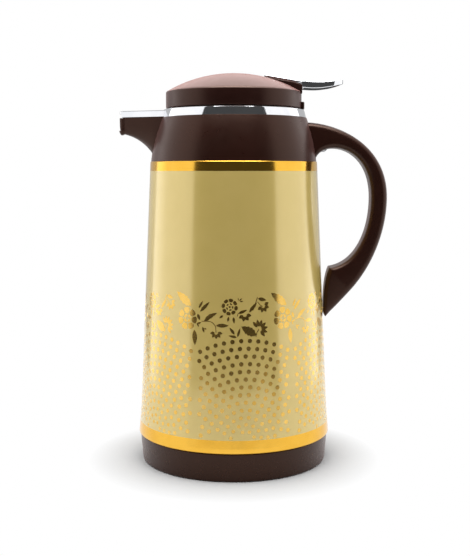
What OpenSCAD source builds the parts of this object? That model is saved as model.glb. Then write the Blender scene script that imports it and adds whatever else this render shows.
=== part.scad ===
// Vacuum jug with a glass liner, a screw-in stopper and a thumb lever that lifts the pouring valve.
// Origin on the jug's axis at the foot plane, +Z up, spout towards -X, handle and lever towards +X.

/* [Base] */
// How far the base narrows down to the table
foot_taper = 1.6; // [0.5:0.1:4]
// How far the base steps in under the shell
base_step = 0.2; // [0.1:0.1:1]
// Height of the visible base
base_h = 19.8; // [16:0.2:24]
// Wall of the base
base_wall = 2.5; // [1.8:0.1:3]
// Width of the rim that stands on the table
foot_rim = 2; // [1.5:0.1:3]
// Rounding of the foot's outer edge
foot_round = 1.4; // [0.6:0.1:1.8]
// Height of the base's floor above the table
floor_z = 3; // [2:0.2:5]
// Height of the spigot that centres the shell
spigot_h = 13; // [8:0.5:18]

/* [Shell] */
// Height of the metal shell
shell_h = 194.8; // [180:0.2:205]
// Shell radius at its lower edge, without the flare
shell_foot_r = 68.2; // [67.6:0.1:69]
// Shell radius at its upper edge
shell_top_r = 59.3; // [58.8:0.1:60.5]
// Sheet thickness
sheet = 0.6; // [0.5:0.1:0.8]
// How far the lower end flares out
flare = 0.9; // [0.3:0.1:1.2]
// Height of the flared stretch
flare_h = 35; // [20:1:60]
// Radius of the rolled lower hem
foot_hem = 0.9; // [0.7:0.1:1.1]
// Radius of the rolled upper hem
top_hem = 0.7; // [0.6:0.1:0.9]

/* [Shoulder] */
// Height of the shoulder above the shell
shoulder_h = 30.4; // [27:0.2:34]
// Shoulder radius at the shell
shoulder_r = 58.8; // [58:0.1:59.2]
// Shoulder radius under the collar
shoulder_top_r = 51.7; // [50.8:0.1:53]
// Bulge of the shoulder's side
shoulder_bulge = 1; // [0.2:0.1:1.6]
// Wall of the shoulder
shoulder_wall = 2.2; // [1.8:0.1:2.6]
// Width of the rim between the bowl and the shoulder's side
rim_w = 5.1; // [4.3:0.1:5.9]
// Depth of the bowl
bowl_depth = 9.8; // [8.5:0.1:11]
// Bore of the neck
neck_r = 25; // [24.4:0.1:26]
// Wall of the neck
neck_wall = 3.6; // [3:0.1:4.2]

/* [Spout] */
// Reach of the spout from the axis
spout_reach = 81.5; // [78:0.5:86]
// Radius of the spout's tip
spout_tip_r = 4.5; // [4.2:0.1:5.4]
// Half width of the spout at its root
spout_root = 17.6; // [15:0.2:20]
// Wall of the spout
spout_wall = 1.6; // [1.4:0.1:1.8]
// Half width of the channel where it leaves the bowl
channel_half = 6.8; // [5.5:0.1:7.5]
// Height of the channel under the collar
channel_depth = 6.6; // [6:0.1:7]
// How far the channel falls towards the mouth
channel_fall = 2.3; // [1.5:0.1:2.5]
// Radius of the curve under the spout
keel_r = 32.7; // [30:0.1:36]
// Radius of the roll under the spout's tip
lip_roll = 1.5; // [1:0.1:1.6]

/* [Collar] */
// Height of the chrome collar
collar_h = 5.8; // [5:0.1:7]
// Collar radius at its foot
collar_r = 51.3; // [50.8:0.1:51.6]
// Collar radius at its top
collar_top_r = 50; // [49.4:0.1:50.6]
// Bevel of the collar's top edge
collar_bevel = 0.6; // [0.3:0.1:0.9]
// How far the beak's top lies under the collar's
beak_drop = 0.8; // [0.4:0.1:1.2]
// Thickness of the beak's roof
beak_roof = 2; // [1.6:0.1:2.4]

/* [Handle] */
// Half width of the grip
grip_half = 10; // [8.5:0.5:12]
// Half width of the handle at its root
root_half = 11; // [9.5:0.5:12]
// Half width at the handle's lower tip
fin_half = 8; // [7:0.5:10]
// Rounding of the grip's edges
grip_round = 4; // [2:0.5:4.5]
// Thickness of the grip
grip_t = 11.4; // [10:0.2:13]
// How far the grip stands out from the axis
grip_reach = 109; // [105:0.5:113]
// Drop from the shoulder's foot to where the grip stands out most
waist_drop = 26; // [23:0.5:29]
// Drop from there to the heel of the grip
heel_drop = 49.3; // [47:0.1:51]
// Shank radius of the handle screws
handle_screw_r = 1.8; // [1.5:0.1:2.1]
// Length of the handle screws under the head
handle_screw_l = 17; // [14:0.5:19]

/* [Liner] */
// Outer radius of the glass liner
liner_r = 56.4; // [55:0.1:56.8]
// Glass thickness
glass = 1.4; // [1.2:0.1:1.6]
// Vacuum gap between the two glasses
vacuum = 2.6; // [2:0.1:3]
// Height of the liner's lowest point
liner_z = 19; // [18:0.5:22]
// How far the liner's mouth lies under the bowl's floor
mouth_drop = 13.2; // [12.8:0.1:14]
// Inner radius of the liner's neck
mouth_r = 22.4; // [22:0.1:22.8]
// Radius of the sealed tip under the liner
tip_r = 4; // [3:0.5:5]
// Length of the sealed tip
tip_l = 5; // [3:0.5:5.5]
// Radius of the pads in the vacuum gap
pad_r = 5; // [3:0.5:7]

/* [Bottom cap] */
// Outer radius of the bottom cap
cap_r = 48.7; // [46:0.1:50]
// Height of the cap's threaded wall
cap_h = 12.5; // [10:0.5:13]
// Wall of the cap
cap_wall = 2.5; // [2:0.1:3]
// Width of the cap's grip bar
bar_w = 8; // [6:0.5:10]
// Radius of the rubber cushion
cushion_r = 26; // [22:0.5:32]
// Height of the cushion
cushion_h = 13.5; // [10:0.5:15]

/* [Neck seals] */
// Height of the neck gasket above the mouth
gasket_h = 2.5; // [2:0.1:3]
// Bore of the neck gasket
gasket_bore = 20.7; // [20.6:0.1:21]
// Height of the stopper's seal ring
seal_h = 2.5; // [2:0.1:3]

/* [Stopper] */
// Wall of the stopper
stopper_wall = 2; // [1.6:0.1:2.2]
// Radius of the stopper's nose
nose_r = 20.2; // [19.6:0.1:20.3]
// How far the nose reaches below the mouth
nose_l = 6; // [5:0.2:7]
// Radius of the valve's seat hole
seat_r = 9; // [7:0.2:11]
// Thickness of the seat
seat_t = 2.5; // [2:0.1:3]
// Number of pouring windows
port_count = 6; // [4:1:8]
// Width of a pouring window
port_w = 13; // [9:0.5:14]
// Height of a pouring window
port_h = 9; // [7:0.5:10]
// Radius of the flange under the lid base
flange_r = 41; // [40:0.2:43]
// Thickness of the flange
flange_t = 2.2; // [1.8:0.1:2.6]

/* [Lid] */
// Radius of the lid
lid_r = 48; // [47.4:0.1:48.6]
// Height of the lid's straight side
lid_side = 11.3; // [10.5:0.1:12]
// Radius of the dome's curve
dome_r = 94; // [88:0.5:98]
// Wall of the lid
lid_wall = 2.2; // [1.8:0.1:2.4]
// Gap that shows between the collar and the lid
lid_gap = 1; // [0.6:0.1:1.4]
// How far the rear tab stands out
tab_out = 2.1; // [1:0.1:2.4]
// Height of the rear tab
tab_h = 5; // [3:0.2:7]
// Half width of the rear tab
tab_half = 9; // [6:0.5:12]
// Thickness of the lid base
lid_base_t = 2.4; // [2:0.1:2.8]
// Radius of the circle that the lid screws stand on
screw_circle = 35.5; // [34:0.5:36]
// Shank radius of the lid screws
lid_screw_r = 1.5; // [1.2:0.1:1.7]
// Length of the lid screws under the head
lid_screw_l = 13; // [11:0.5:15]

/* [Lever] */
// Distance of the lever's pin from the axis
pivot_x = 42; // [41.5:0.1:42.5]
// Height of the pin above the lid's straight side
pivot_up = 2.9; // [2.6:0.1:3.2]
// Radius of the pin
pin_r = 1.5; // [1.3:0.1:1.6]
// Distance of the lever's front edge from the axis
lever_front = 21.5; // [21:0.1:23]
// Distance of the lever's nose from the axis
lever_nose = 77.4; // [74:0.2:80]
// Half width of the lever
lever_half = 10.5; // [10:0.1:11]
// Thickness of the lever's plate
lever_t = 1.9; // [1.6:0.1:2.2]
// Depth of the lever's side walls
lever_depth = 5.9; // [5:0.1:6.2]
// Curve of the thumb rest
thumb_r = 80; // [70:1:95]
// Where the thumb rest starts to curve up
bend_x = 46.2; // [45.5:0.1:47]
// Half width of the slot between the cheeks
slot_half = 8.5; // [8.2:0.1:8.8]
// Thickness of a cheek
cheek_t = 2.6; // [2.4:0.1:2.8]

/* [Valve] */
// Radius of the valve stem
stem_r = 2; // [1.6:0.1:2.2]
// Radius of the valve disc
disc_r = 12.5; // [11.6:0.1:14]
// Thickness of the valve disc
disc_t = 2.5; // [2:0.1:3]
// Thickness of the valve's seal
valve_seal_t = 1.2; // [1:0.1:1.6]
// Radius of the head nut
nut_r = 5; // [4.4:0.1:5.6]
// Thickness of the head nut
nut_t = 2.2; // [1.8:0.1:2.4]
// Radius of the spring's coil
coil_r = 7; // [6:0.2:8]
// Radius of the spring wire
wire_r = 0.6; // [0.4:0.1:0.8]
// Number of coils
coil_turns = 7; // [5:1:9]

/* [Clearances] */
// Gap between pieces that are pushed together
snug = 0.1; // [0.05:0.05:0.2]
// Gap between pieces that move past each other
play = 0.4; // [0.3:0.05:0.5]
// Radial clearance of the lever on its pin
running = 0.05; // [0.02:0.01:0.08]

/* [Hidden] */
$fn = 96;
eps = 0.01;

base_r = shell_foot_r - base_step;
foot_r = base_r - foot_taper;

// Stack of heights
shoulder_z = base_h + shell_h;
collar_z = shoulder_z + shoulder_h;
collar_top = collar_z + collar_h;
lid_z = collar_top + lid_gap;
dome_z = lid_z + lid_side;
dome_c = dome_z - sqrt(pow(dome_r, 2) - pow(lid_r, 2));
bowl_z = collar_z - bowl_depth;
channel_z = collar_z - channel_depth;
mouth_z = bowl_z - mouth_drop;
gasket_top = mouth_z + gasket_h;
plug_z = gasket_top + seal_h;
nose_z = mouth_z - nose_l;
seat_z = nose_z + seat_t;
lid_base_z = lid_z + 0.4;
lid_base_top = lid_base_z + lid_base_t;
flange_z = lid_base_z - flange_t;

// Radii of the liner, from the outside in
outer_in = liner_r - glass;
inner_out = outer_in - vacuum;
inner_in = inner_out - glass;
liner_low = liner_z + liner_r;
lip_r = (2 * glass + vacuum) / 2;
lip_c = mouth_r + lip_r;
neck_out = mouth_r + 2 * lip_r;
lip_z = mouth_z - lip_r;
liner_high = lip_z - sqrt(pow(liner_r, 2) - pow(neck_out, 2)) - 2;

plug_r = neck_r - play;
pivot_z = dome_z + pivot_up;

function shell_radius(z) = let (k = (z - base_h) / shell_h, up = z - base_h)
    shell_foot_r + (shell_top_r - shell_foot_r) * k + flare * pow(max(0, 1 - up / flare_h), 2);

// Points along a circular arc about c, from angle a0 to a1
function arc(c, r, a0, a1, n = 8) =
    [for (i = [0:n]) let (a = a0 + (a1 - a0) * i / n) [c[0] + r * cos(a), c[1] + r * sin(a)]];

// Points from p to q along an arc that bulges to the right of the way from p to q
function bulged(p, q, bulge, n = 14) = let (
        d = q - p, len = norm(d), right = [d[1], -d[0]] / len,
        r = (pow(len / 2, 2) + pow(bulge, 2)) / (2 * bulge), c = (p + q) / 2 - right * (r - bulge),
        a0 = atan2(p[1] - c[1], p[0] - c[0]), turn = 2 * asin(len / 2 / r))
    arc(c, r, a0, a0 + turn, n);

// Point of a cubic curve with the control points c
function cubic(c, t) = pow(1 - t, 3) * c[0] + 3 * t * pow(1 - t, 2) * c[1]
    + 3 * t * t * (1 - t) * c[2] + pow(t, 3) * c[3];

module revolve(points) rotate_extrude() polygon(points);

// A ring between two radii
module ring(r_out, r_in, z, h) translate([0, 0, z]) difference() {
    cylinder(r = r_out, h = h);
    translate([0, 0, -1]) cylinder(r = r_in, h = h + 2);
}

// --- Jug ---

// Plastic foot with a screw socket for the bottom cap and a spigot for the shell
module base_ring() {
    spigot_r = shell_foot_r - sheet - 2 * foot_hem + 0.5;
    socket_r = cap_r + snug * 3;
    socket_h = cap_h + 1;
    color("#3a2622") union() {
        revolve(concat(
            arc([foot_r - foot_round, foot_round], foot_round, -90, 0),
            [[base_r, base_h], [spigot_r, base_h], [spigot_r, base_h + spigot_h],
            [spigot_r - base_wall, base_h + spigot_h], [spigot_r - base_wall, base_h - base_wall],
            [foot_r - base_wall, floor_z + base_wall], [foot_r - foot_round - foot_rim, floor_z],
            [foot_r - foot_round - foot_rim, 0]]));
        ring(foot_r - base_wall + 0.5, socket_r, floor_z, base_wall);
        ring(socket_r + base_wall, socket_r, floor_z, socket_h);
    }
}

// Screw-in disc with a grip bar, which presses the liner upwards
module bottom_cap() {
    z = floor_z + 0.2;
    dish_z = liner_z - tip_l - snug - cap_wall;
    color("#33211e") union() {
        ring(cap_r, cap_r - cap_wall, z, cap_h);
        translate([0, 0, dish_z]) cylinder(r = cap_r - 1, h = cap_wall);
        intersection() {
            translate([-cap_r, -bar_w / 2, z]) cube([2 * cap_r, bar_w, dish_z - z + 1]);
            cylinder(r = cap_r - 1, h = dish_z + 1);
        }
        ring(cushion_r + cap_wall, cushion_r + snug, dish_z + 1, cap_wall + 2);
    }
}

// Rubber cup under the glass, with a hole for its sealed tip
module liner_cushion() {
    z = liner_z - tip_l - snug;
    color("#2b2b2b") difference() {
        translate([0, 0, z]) cylinder(r = cushion_r, h = cushion_h);
        translate([0, 0, liner_low]) sphere(r = liner_r + snug);
        translate([0, 0, z - 1]) cylinder(r = tip_r + 1.5, h = cushion_h);
    }
}

// Half outline of a bottle with round ends: low and high are the centres of the ends
module bottle(r, neck, low, high, top) intersection() {
    union() {
        translate([0, low]) circle(r = r);
        translate([0, low]) square([r, high - low]);
        translate([0, high]) circle(r = r);
        translate([0, high]) square([neck, top - high]);
    }
    square([2 * r, top]);
}

module liner_outer_glass() color("#b9c3c9") rotate_extrude() difference() {
    union() {
        bottle(liner_r, neck_out, liner_low, liner_high, lip_z);
        polygon([[0, liner_z - tip_l], [1, liner_z - tip_l],
            [tip_r, liner_z + 0.5], [0, liner_z + 0.5]]);
    }
    bottle(outer_in, neck_out - glass, liner_low, liner_high, lip_z + 1);
}

module liner_inner_glass() color("#c8d0d4") rotate_extrude() difference() {
    union() {
        bottle(inner_out, mouth_r + glass, liner_low, liner_high, lip_z + 0.2);
        translate([lip_c, lip_z]) difference() {
            circle(r = lip_r);
            translate([-lip_r, -2 * lip_r]) square([2 * lip_r, 2 * lip_r]);
        }
    }
    bottle(inner_in, mouth_r, liner_low, liner_high, mouth_z + 1);
}

// Pads that hold the two glasses apart
module liner_pads() color("#8a8578") for (a = [90, 210, 330]) rotate(a) intersection() {
    translate([0, 0, liner_low + pad_r]) rotate([0, 90, 0]) cylinder(r = pad_r, h = liner_r);
    ring(outer_in - snug / 2, inner_out + snug / 2, liner_low, 2 * pad_r);
}

// Silicone ring that sits over the glass lip
module neck_gasket() color("#d9d4c8") difference() {
    low = lip_z + 0.6;
    ring(neck_out + 2, gasket_bore, low, gasket_top - low);
    translate([0, 0, lip_z]) rotate_extrude() translate([lip_c, 0]) circle(r = lip_r + snug / 2);
    ring(neck_out + snug / 2, gasket_bore + 1, lip_z - 1, 1 + snug);
}

// Tapered sheet-metal shell with a rolled hem at each end
module body_shell() {
    z0 = base_h + foot_hem + 0.2;
    z1 = shoulder_z - top_hem;
    heights = concat([for (i = [0:7]) z0 + (flare_h - foot_hem) * i / 7], [z1]);
    color("#e3d3a0") rotate_extrude() {
        polygon(concat(
            [for (z = heights) [shell_radius(z), z]],
            [for (i = [len(heights) - 1:-1:0]) [shell_radius(heights[i]) - sheet, heights[i]]]));
        translate([shell_radius(z0) - foot_hem, z0]) circle(r = foot_hem, $fn = 24);
        translate([shell_radius(z1) - top_hem, z1]) circle(r = top_hem, $fn = 24);
    }
}

shoulder_foot = [shoulder_r, shoulder_z];
shoulder_head = [shoulder_top_r, collar_z];
function shoulder_side(inset) = bulged(
    shoulder_foot - [inset, 0], shoulder_head - [inset, 0], shoulder_bulge);

floor_low = bowl_z - shoulder_wall - 0.6;
bowl_r = shoulder_top_r - rim_w;
bowl_t = 1.6;
bowl_out = bowl_r + bowl_t;

beak_x = -bowl_r + 0.6;
tip_x = spout_tip_r - spout_reach;
mouth_half = spout_tip_r - spout_wall;
sill_half = channel_half + 1.2;
sill_x = -shoulder_top_r - 5;
sill_l = 13.2;
spill_z = channel_z - channel_fall;
keel_top = spill_z - spout_wall;
boss_x = shoulder_top_r - 1.2;
boss_l = 9;
boss_half = 7;
boss_h = 18;
boss_z = shoulder_z + 4;

// Outline of the spout seen from above: straight sides that run onto a round tip
module beak_plan() {
    d = norm([beak_x - tip_x, spout_root]);
    a = atan2(spout_root, beak_x - tip_x) + acos(spout_tip_r / d);
    polygon(concat([[beak_x, spout_root]], arc([tip_x, 0], spout_tip_r, a, 360 - a, 16),
        [[beak_x, -spout_root]]));
}

// Outline of the pouring channel, from inside the bowl to the open mouth
channel_in = -bowl_r + 5.6;
channel_out = -spout_reach - 1;
module channel_plan() polygon([[channel_in, channel_half], [channel_out, mouth_half],
    [channel_out, -mouth_half], [channel_in, -channel_half]]);

// Space of the pouring channel, whose floor falls from the shoulder to the mouth
module channel_space(top) intersection() {
    translate([0, 0, spill_z - 1]) linear_extrude(top - spill_z + 2) channel_plan();
    along_y(spout_root) polygon([[channel_in + 1, channel_z], [sill_x, channel_z],
        [channel_out - 1, spill_z], [channel_out - 1, top], [channel_in + 1, top]]);
}

// Outside of the spout, with a curved keel and a small roll under the tip
module spout_form() {
    slab = 1;
    root_r = 4;
    tip_taper = 0.8;
    keel_x = -spout_reach - 3.3;
    difference() {
        hull() {
            translate([0, 0, collar_z - slab]) linear_extrude(slab) beak_plan();
            translate([tip_x, 0, keel_top - slab])
                cylinder(r = spout_tip_r - tip_taper, h = slab, $fn = 48);
            translate([-shoulder_top_r, 0, shoulder_z]) cylinder(r = root_r, h = slab, $fn = 32);
        }
        translate([keel_x, 0, keel_top - keel_r]) rotate([90, 0, 0])
            cylinder(r = keel_r, h = 4 * spout_root, center = true);
    }
    translate([-spout_reach + 1.4 * lip_roll, 0, keel_top]) rotate([90, 0, 0])
        cylinder(r = lip_roll, h = 2 * mouth_half, center = true);
}

// Block that carries the channel from the spout through both walls
module sill(gap) translate([sill_x, -sill_half - gap, channel_z - spout_wall - gap])
    cube([sill_l, 2 * (sill_half + gap), channel_depth + spout_wall + 2 * gap]);

// Spout with its channel, welded into the shoulder and the bowl
module spout() color("#4b3129") difference() {
    union() {
        difference() {
            spout_form();
            revolve(concat([[0, shoulder_z - 2], [shoulder_r, shoulder_z - 2]],
                shoulder_side(-snug / 2), [[0, collar_z + 1]]));
        }
        sill(0);
    }
    channel_space(collar_z + 1);
}

// Outer wall of the shoulder, with a spigot in the shell and a flat face for the handle screws
module shoulder() {
    spigot_r = shell_radius(shoulder_z) - sheet - 1.1;
    spigot_in = spigot_r - shoulder_wall + 0.2;
    spigot_l = 8;
    inside = shoulder_side(shoulder_wall);
    color("#4b3129") difference() {
        union() {
            revolve(concat(
                [[spigot_in, shoulder_z - spigot_l], [spigot_r, shoulder_z - spigot_l],
                [spigot_r, shoulder_z]],
                shoulder_side(0), [[bowl_out, collar_z]],
                [for (i = [len(inside) - 2:-1:1]) inside[i]],
                [[spigot_in, shoulder_z - 0.5]]));
            intersection() {
                translate([boss_x, -boss_half, boss_z]) cube([boss_l, 2 * boss_half, boss_h]);
                revolve(concat([[0, shoulder_z]], shoulder_side(1), [[0, collar_z]]));
            }
        }
        sill(snug / 2);
        handle_screw_holes(handle_screw_r + snug);
    }
}

// Funnel between the neck and the collar
module bowl() {
    lean = 1;
    bend_z = bowl_z + 5;
    rise = 1.4;
    edge = 5.6;
    color("#4b3129") difference() {
        revolve([[bowl_r, collar_z], [bowl_r - lean, bend_z], [bowl_r - edge, bowl_z + rise],
            [neck_r, bowl_z], [neck_r, floor_low], [neck_r + neck_wall, floor_low],
            [bowl_out - edge, bowl_z + rise - bowl_t], [bowl_out - lean, bend_z - bowl_t],
            [bowl_out, collar_z - shoulder_wall], [bowl_out, collar_z]]);
        sill(snug / 2);
    }
}

// Neck that the stopper screws into, standing on the gasket
module neck_tube() color("#4b3129")
    ring(neck_r + neck_wall, neck_r, gasket_top, floor_low - gasket_top);

// Chrome-plated ring with a beak that roofs the spout
module chrome_collar() {
    beak_top = collar_top - beak_drop;
    color("#d8dadd") difference() {
        union() {
            revolve([[bowl_r, collar_z], [collar_r, collar_z],
                [collar_top_r, collar_top - collar_bevel],
                [collar_top_r - collar_bevel, collar_top], [bowl_r, collar_top]]);
            difference() {
                translate([0, 0, collar_z]) linear_extrude(beak_top - collar_z) beak_plan();
                translate([0, 0, collar_z - 1]) cylinder(r = bowl_r + 1, h = collar_h + 2);
            }
        }
        translate([0, 0, collar_z - 1]) linear_extrude(beak_top - beak_roof - collar_z + 1)
            channel_plan();
    }
}

// --- Handle ---

crown_z = collar_z - 3;
waist_z = shoulder_z - waist_drop;
fork_x = grip_reach - 25.5;
fork_z = waist_z - 66.1;
fin_z = waist_z - 84.2;
fin_x = shell_radius(fin_z) + 2.2;
heel_z = waist_z - heel_drop;
heel = [shell_radius(heel_z) + 5.8, heel_z];
touch_x = shell_radius(fin_z + 7.6) + 0.5;
grip_in = grip_reach - grip_t;
root_x = shoulder_r - 1.3;

// Outer edge of the handle: crown, back and fin
outer_edge = [
    [[shoulder_top_r - 1.7, crown_z], [shoulder_top_r + 20.3, crown_z],
        [grip_reach, waist_z + 39], [grip_reach, waist_z]],
    [[grip_reach, waist_z], [grip_reach, waist_z - 24],
        [grip_reach - 10, fork_z + 17], [fork_x, fork_z]],
    [[fork_x, fork_z], [fork_x - 6, fork_z - 6.8], [fin_x + 4.9, fin_z + 4.6], [fin_x, fin_z]]];
// Inner edge of the handle, in step with the outer one
inner_edge = [
    [[root_x, shoulder_z + 0.4], [root_x + 2.5, shoulder_z + 15.4],
        [grip_in, waist_z + 40], [grip_in, waist_z]],
    [[grip_in, waist_z], [grip_in, waist_z - 24], [grip_in - 9.6, heel_z + 2.7], heel],
    [heel, [heel[0] - 3.1, heel_z - 6.3], [touch_x, fin_z + 16.6], [touch_x, fin_z + 3]]];
handle_steps = [16, 16, 10];

// A rounded rectangle in the plane through p and q, as wide as 2 * half
function grip_ring(p, q, half, r) = let (
        len = norm(p - q), u = (p - q) / len, c = (p + q) / 2, k = min(r, len / 2 - 0.2))
    [for (side = [[1, 1, 0], [-1, 1, 90], [-1, -1, 180], [1, -1, 270]], i = [0:5])
        let (a = side[2] + 90 * i / 5,
            along = side[0] * (len / 2 - k) + k * cos(a),
            across = side[1] * (half - k) + k * sin(a),
            m = c + u * along)
        [m[0], across, m[1]]];

function grip_half_at(s) = s < 1 ? root_half + (grip_half - root_half) * s
    : s < 2 ? grip_half : grip_half + (fin_half - grip_half) * (s - 2);

handle_rings = concat(
    [for (part = [0:2], i = [(part == 0 ? 0 : 1):handle_steps[part]])
        let (t = i / handle_steps[part])
        grip_ring(cubic(outer_edge[part], t), cubic(inner_edge[part], t),
            grip_half_at(part + t), grip_round)],
    [grip_ring([fin_x - 0.6, fin_z - 0.8], [touch_x + 0.5, fin_z + 1], fin_half - 1.5, 1)]);

// Skin through a list of closed rings with equal numbers of points
module skin(rings) {
    n = len(rings[0]);
    last = len(rings) - 1;
    polyhedron(
        points = [for (r = rings, p = r) p],
        faces = concat(
            [for (k = [0:last - 1], i = [0:n - 1]) let (j = (i + 1) % n)
                each [[k * n + i, k * n + j, (k + 1) * n + j],
                    [k * n + i, (k + 1) * n + j, (k + 1) * n + i]]],
            [[for (i = [n - 1:-1:0]) i], [for (i = [0:n - 1]) last * n + i]]));
}

handle_screw_z = [shoulder_z + 8.5, shoulder_z + 17.5];

module handle_screw_holes(r) for (z = handle_screw_z)
    translate([boss_x - 5, 0, z]) rotate([0, 90, 0]) cylinder(r = r, h = 5 + handle_screw_l);

// Grip, rooted on the shoulder and resting its fin against the shell
module handle() color("#46302a") difference() {
    skin(handle_rings);
    revolve(concat([[0, shoulder_z - 4], [shoulder_r + snug, shoulder_z - 4]],
        shoulder_side(-snug), [[0, collar_z + 2]]));
    handle_screw_holes(handle_screw_r);
}

// Pan-head screw along +Z, with its head under z = 0
module screw(r, l) {
    cylinder(r = r, h = l - r);
    translate([0, 0, l - r - eps]) cylinder(r1 = r, r2 = 0.3, h = r);
    difference() {
        translate([0, 0, -1.4 * r]) cylinder(r = 2 * r, h = 1.4 * r + eps);
        for (a = [0, 90]) rotate(a) translate([-1.3 * r, -0.25 * r, -1.4 * r - 1])
            cube([2.6 * r, 0.5 * r, 1 + 0.6 * r]);
    }
}

module handle_screws() color("#9aa0a4") for (z = handle_screw_z)
    translate([boss_x - snug, 0, z]) rotate([0, 90, 0])
        screw(handle_screw_r - snug / 2, handle_screw_l - 1);

// --- Stopper and lid ---

// Silicone ring between the stopper and the neck gasket
module stopper_seal() color("#cfc9bb") ring(neck_r - 0.7, nose_r + 0.7, gasket_top, seal_h);

// Plug with a seat for the valve, pouring windows and a flange
module stopper_body() {
    chamber = plug_r - stopper_wall;
    nose_in = nose_r - stopper_wall;
    port_z = bowl_z + 1.5;
    color("#4a3029") difference() {
        revolve([[seat_r, nose_z], [nose_r, nose_z], [nose_r, plug_z], [plug_r, plug_z],
            [plug_r, flange_z], [flange_r, flange_z], [flange_r, lid_base_z],
            [chamber, lid_base_z], [chamber, plug_z + stopper_wall],
            [nose_in, plug_z + stopper_wall], [nose_in, seat_z], [seat_r, seat_z]]);
        for (i = [0:port_count - 1]) rotate(i * 360 / port_count)
            translate([-plug_r - 1, -port_w / 2, port_z]) cube([stopper_wall + 3, port_w, port_h]);
        lid_screw_holes(lid_screw_r + snug);
    }
}

module lid_screw_places() for (a = [60, 180, 300]) rotate(a)
    translate([screw_circle, 0, 0]) children();

module lid_screw_holes(r) lid_screw_places()
    translate([0, 0, flange_z - 1]) cylinder(r = r, h = lid_screw_l + 2);

tube_top = pivot_z - 6;
gland_r = stem_r + 1.6;
gland_h = 2.4;
post_r = lid_screw_r + 1.8;
saddle_half = slot_half + 2;
tab_z = lid_z - 0.6;
ceiling = 40;

// Plate that closes the dome, guides the stem and holds the pin from below
module lid_base() {
    prop_t = 1.4;
    color("#412a25") difference() {
        union() {
            translate([0, 0, lid_base_z]) cylinder(r = lid_r - lid_wall - snug, h = lid_base_t);
            translate([0, 0, lid_base_z]) cylinder(r = gland_r + 1, h = tube_top - lid_base_z);
            ring(coil_r - wire_r - 0.3, gland_r, flange_z - 2, flange_t + 2 + eps);
            for (y = [-1, 1]) translate([pivot_x, y * (slot_half + 1), lid_base_top - eps])
                translate([-prop_t, -prop_t / 2, 0])
                    cube([2 * prop_t, prop_t, pivot_z - pin_r - snug - lid_base_top]);
        }
        translate([0, 0, flange_z - 3]) cylinder(r = stem_r + snug, h = ceiling);
        translate([0, 0, tube_top - gland_h]) cylinder(r = gland_r, h = gland_h + 1);
        lid_screw_holes(lid_screw_r + snug);
    }
}

// O-ring that keeps steam out of the dome
module stem_gasket() color("#2d2d2d")
    ring(gland_r - snug / 2, stem_r + snug, tube_top - gland_h, 2);

// Solid outline of the dome and its straight side, a distance inside the lid's surface
module dome_form(inset) intersection() {
    translate([0, 0, lid_z - (inset > 0 ? 1 : 0)]) cylinder(r = lid_r - inset, h = ceiling);
    translate([0, 0, dome_c]) sphere(r = dome_r - inset);
}

// Tab that stands out of the lid's side over the handle
module rear_tab() intersection() {
    translate([lid_r / 2, -tab_half, tab_z]) cube([lid_r, 2 * tab_half, tab_h]);
    ring(lid_r + tab_out, lid_r - 1, tab_z, tab_h);
}

// Domed cover with a straight side, a housing for the lever and a rear tab
module lid_cover() {
    cheek_half = slot_half + cheek_t;
    cheek_l = 9;
    color("#5a3c33") difference() {
        union() {
            dome_form(0);
            // Housing that rises from the dome to the lever's plate
            intersection() {
                along_y(cheek_half) housing_side();
                translate([0, 0, lid_z]) cylinder(r = lid_r, h = ceiling);
            }
            rear_tab();
        }
        // Hollow under the dome, with the cheeks and screw posts left standing
        difference() {
            dome_form(lid_wall);
            for (y = [-1, 1]) translate([pivot_x - 5, y * (slot_half + cheek_t / 2), lid_base_top + 0.3])
                translate([0, -cheek_t / 2, 0]) cube([cheek_l, cheek_t, ceiling]);
            lid_screw_places() translate([0, 0, lid_base_top]) cylinder(r = post_r, h = ceiling);
        }
        // Slot for the lever
        translate([slot_x, -slot_half, pivot_z - hub_r - play])
            cube([ceiling, 2 * slot_half, ceiling]);
        // Open saddles for the pin
        pin_bore(pin_r + snug / 2, saddle_half);
        translate([pivot_x - pin_r - snug / 2, -saddle_half, lid_base_top - 2])
            cube([2 * pin_r + snug, 2 * saddle_half, pivot_z - lid_base_top + 2]);
        lid_screw_places() translate([0, 0, lid_z - 1])
            cylinder(r = lid_screw_r, h = flange_z + lid_screw_l + 2 - lid_z);
    }
}

module lid_screws() color("#a5abb0") lid_screw_places()
    translate([0, 0, flange_z - snug / 2]) screw(lid_screw_r - snug / 2, lid_screw_l);

// --- Lever ---

// A cylinder about the pin's line
module pin_bore(r, half) translate([pivot_x, 0, pivot_z]) rotate([90, 0, 0])
    cylinder(r = r, h = 2 * half, center = true);

plate_front_z = dome_z + 12.1;
plate_slope = -0.17;
hub_r = 3.6;
slot_x = lever_front + 4;
wall_x = lid_r - 0.2;
lever_wall = 1.6;
thumb_l = lever_nose - bend_x;
thumb_steps = 10;
nose_round = 1.8;
wall_thinning = 0.42;
corner_r = 3;
fork_half = 6;
finger_r = 2;
finger_z = pivot_z - 2.5;
nut_z = finger_z + finger_r + 0.05;

// Height of the plate's top: straight over the housing, then a curved thumb rest
function lever_top_z(x) = plate_front_z + plate_slope * (x - lever_front)
    + (x > bend_x ? thumb_r - sqrt(pow(thumb_r, 2) - pow(x - bend_x, 2)) : 0);
function lever_low_z(x) = lever_top_z(x)
    - lever_depth * (1 - wall_thinning * pow(max(0, x - bend_x) / thumb_l, 2));
function thumb_x(i) = bend_x + (thumb_l - nose_round) * i / thumb_steps;

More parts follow.
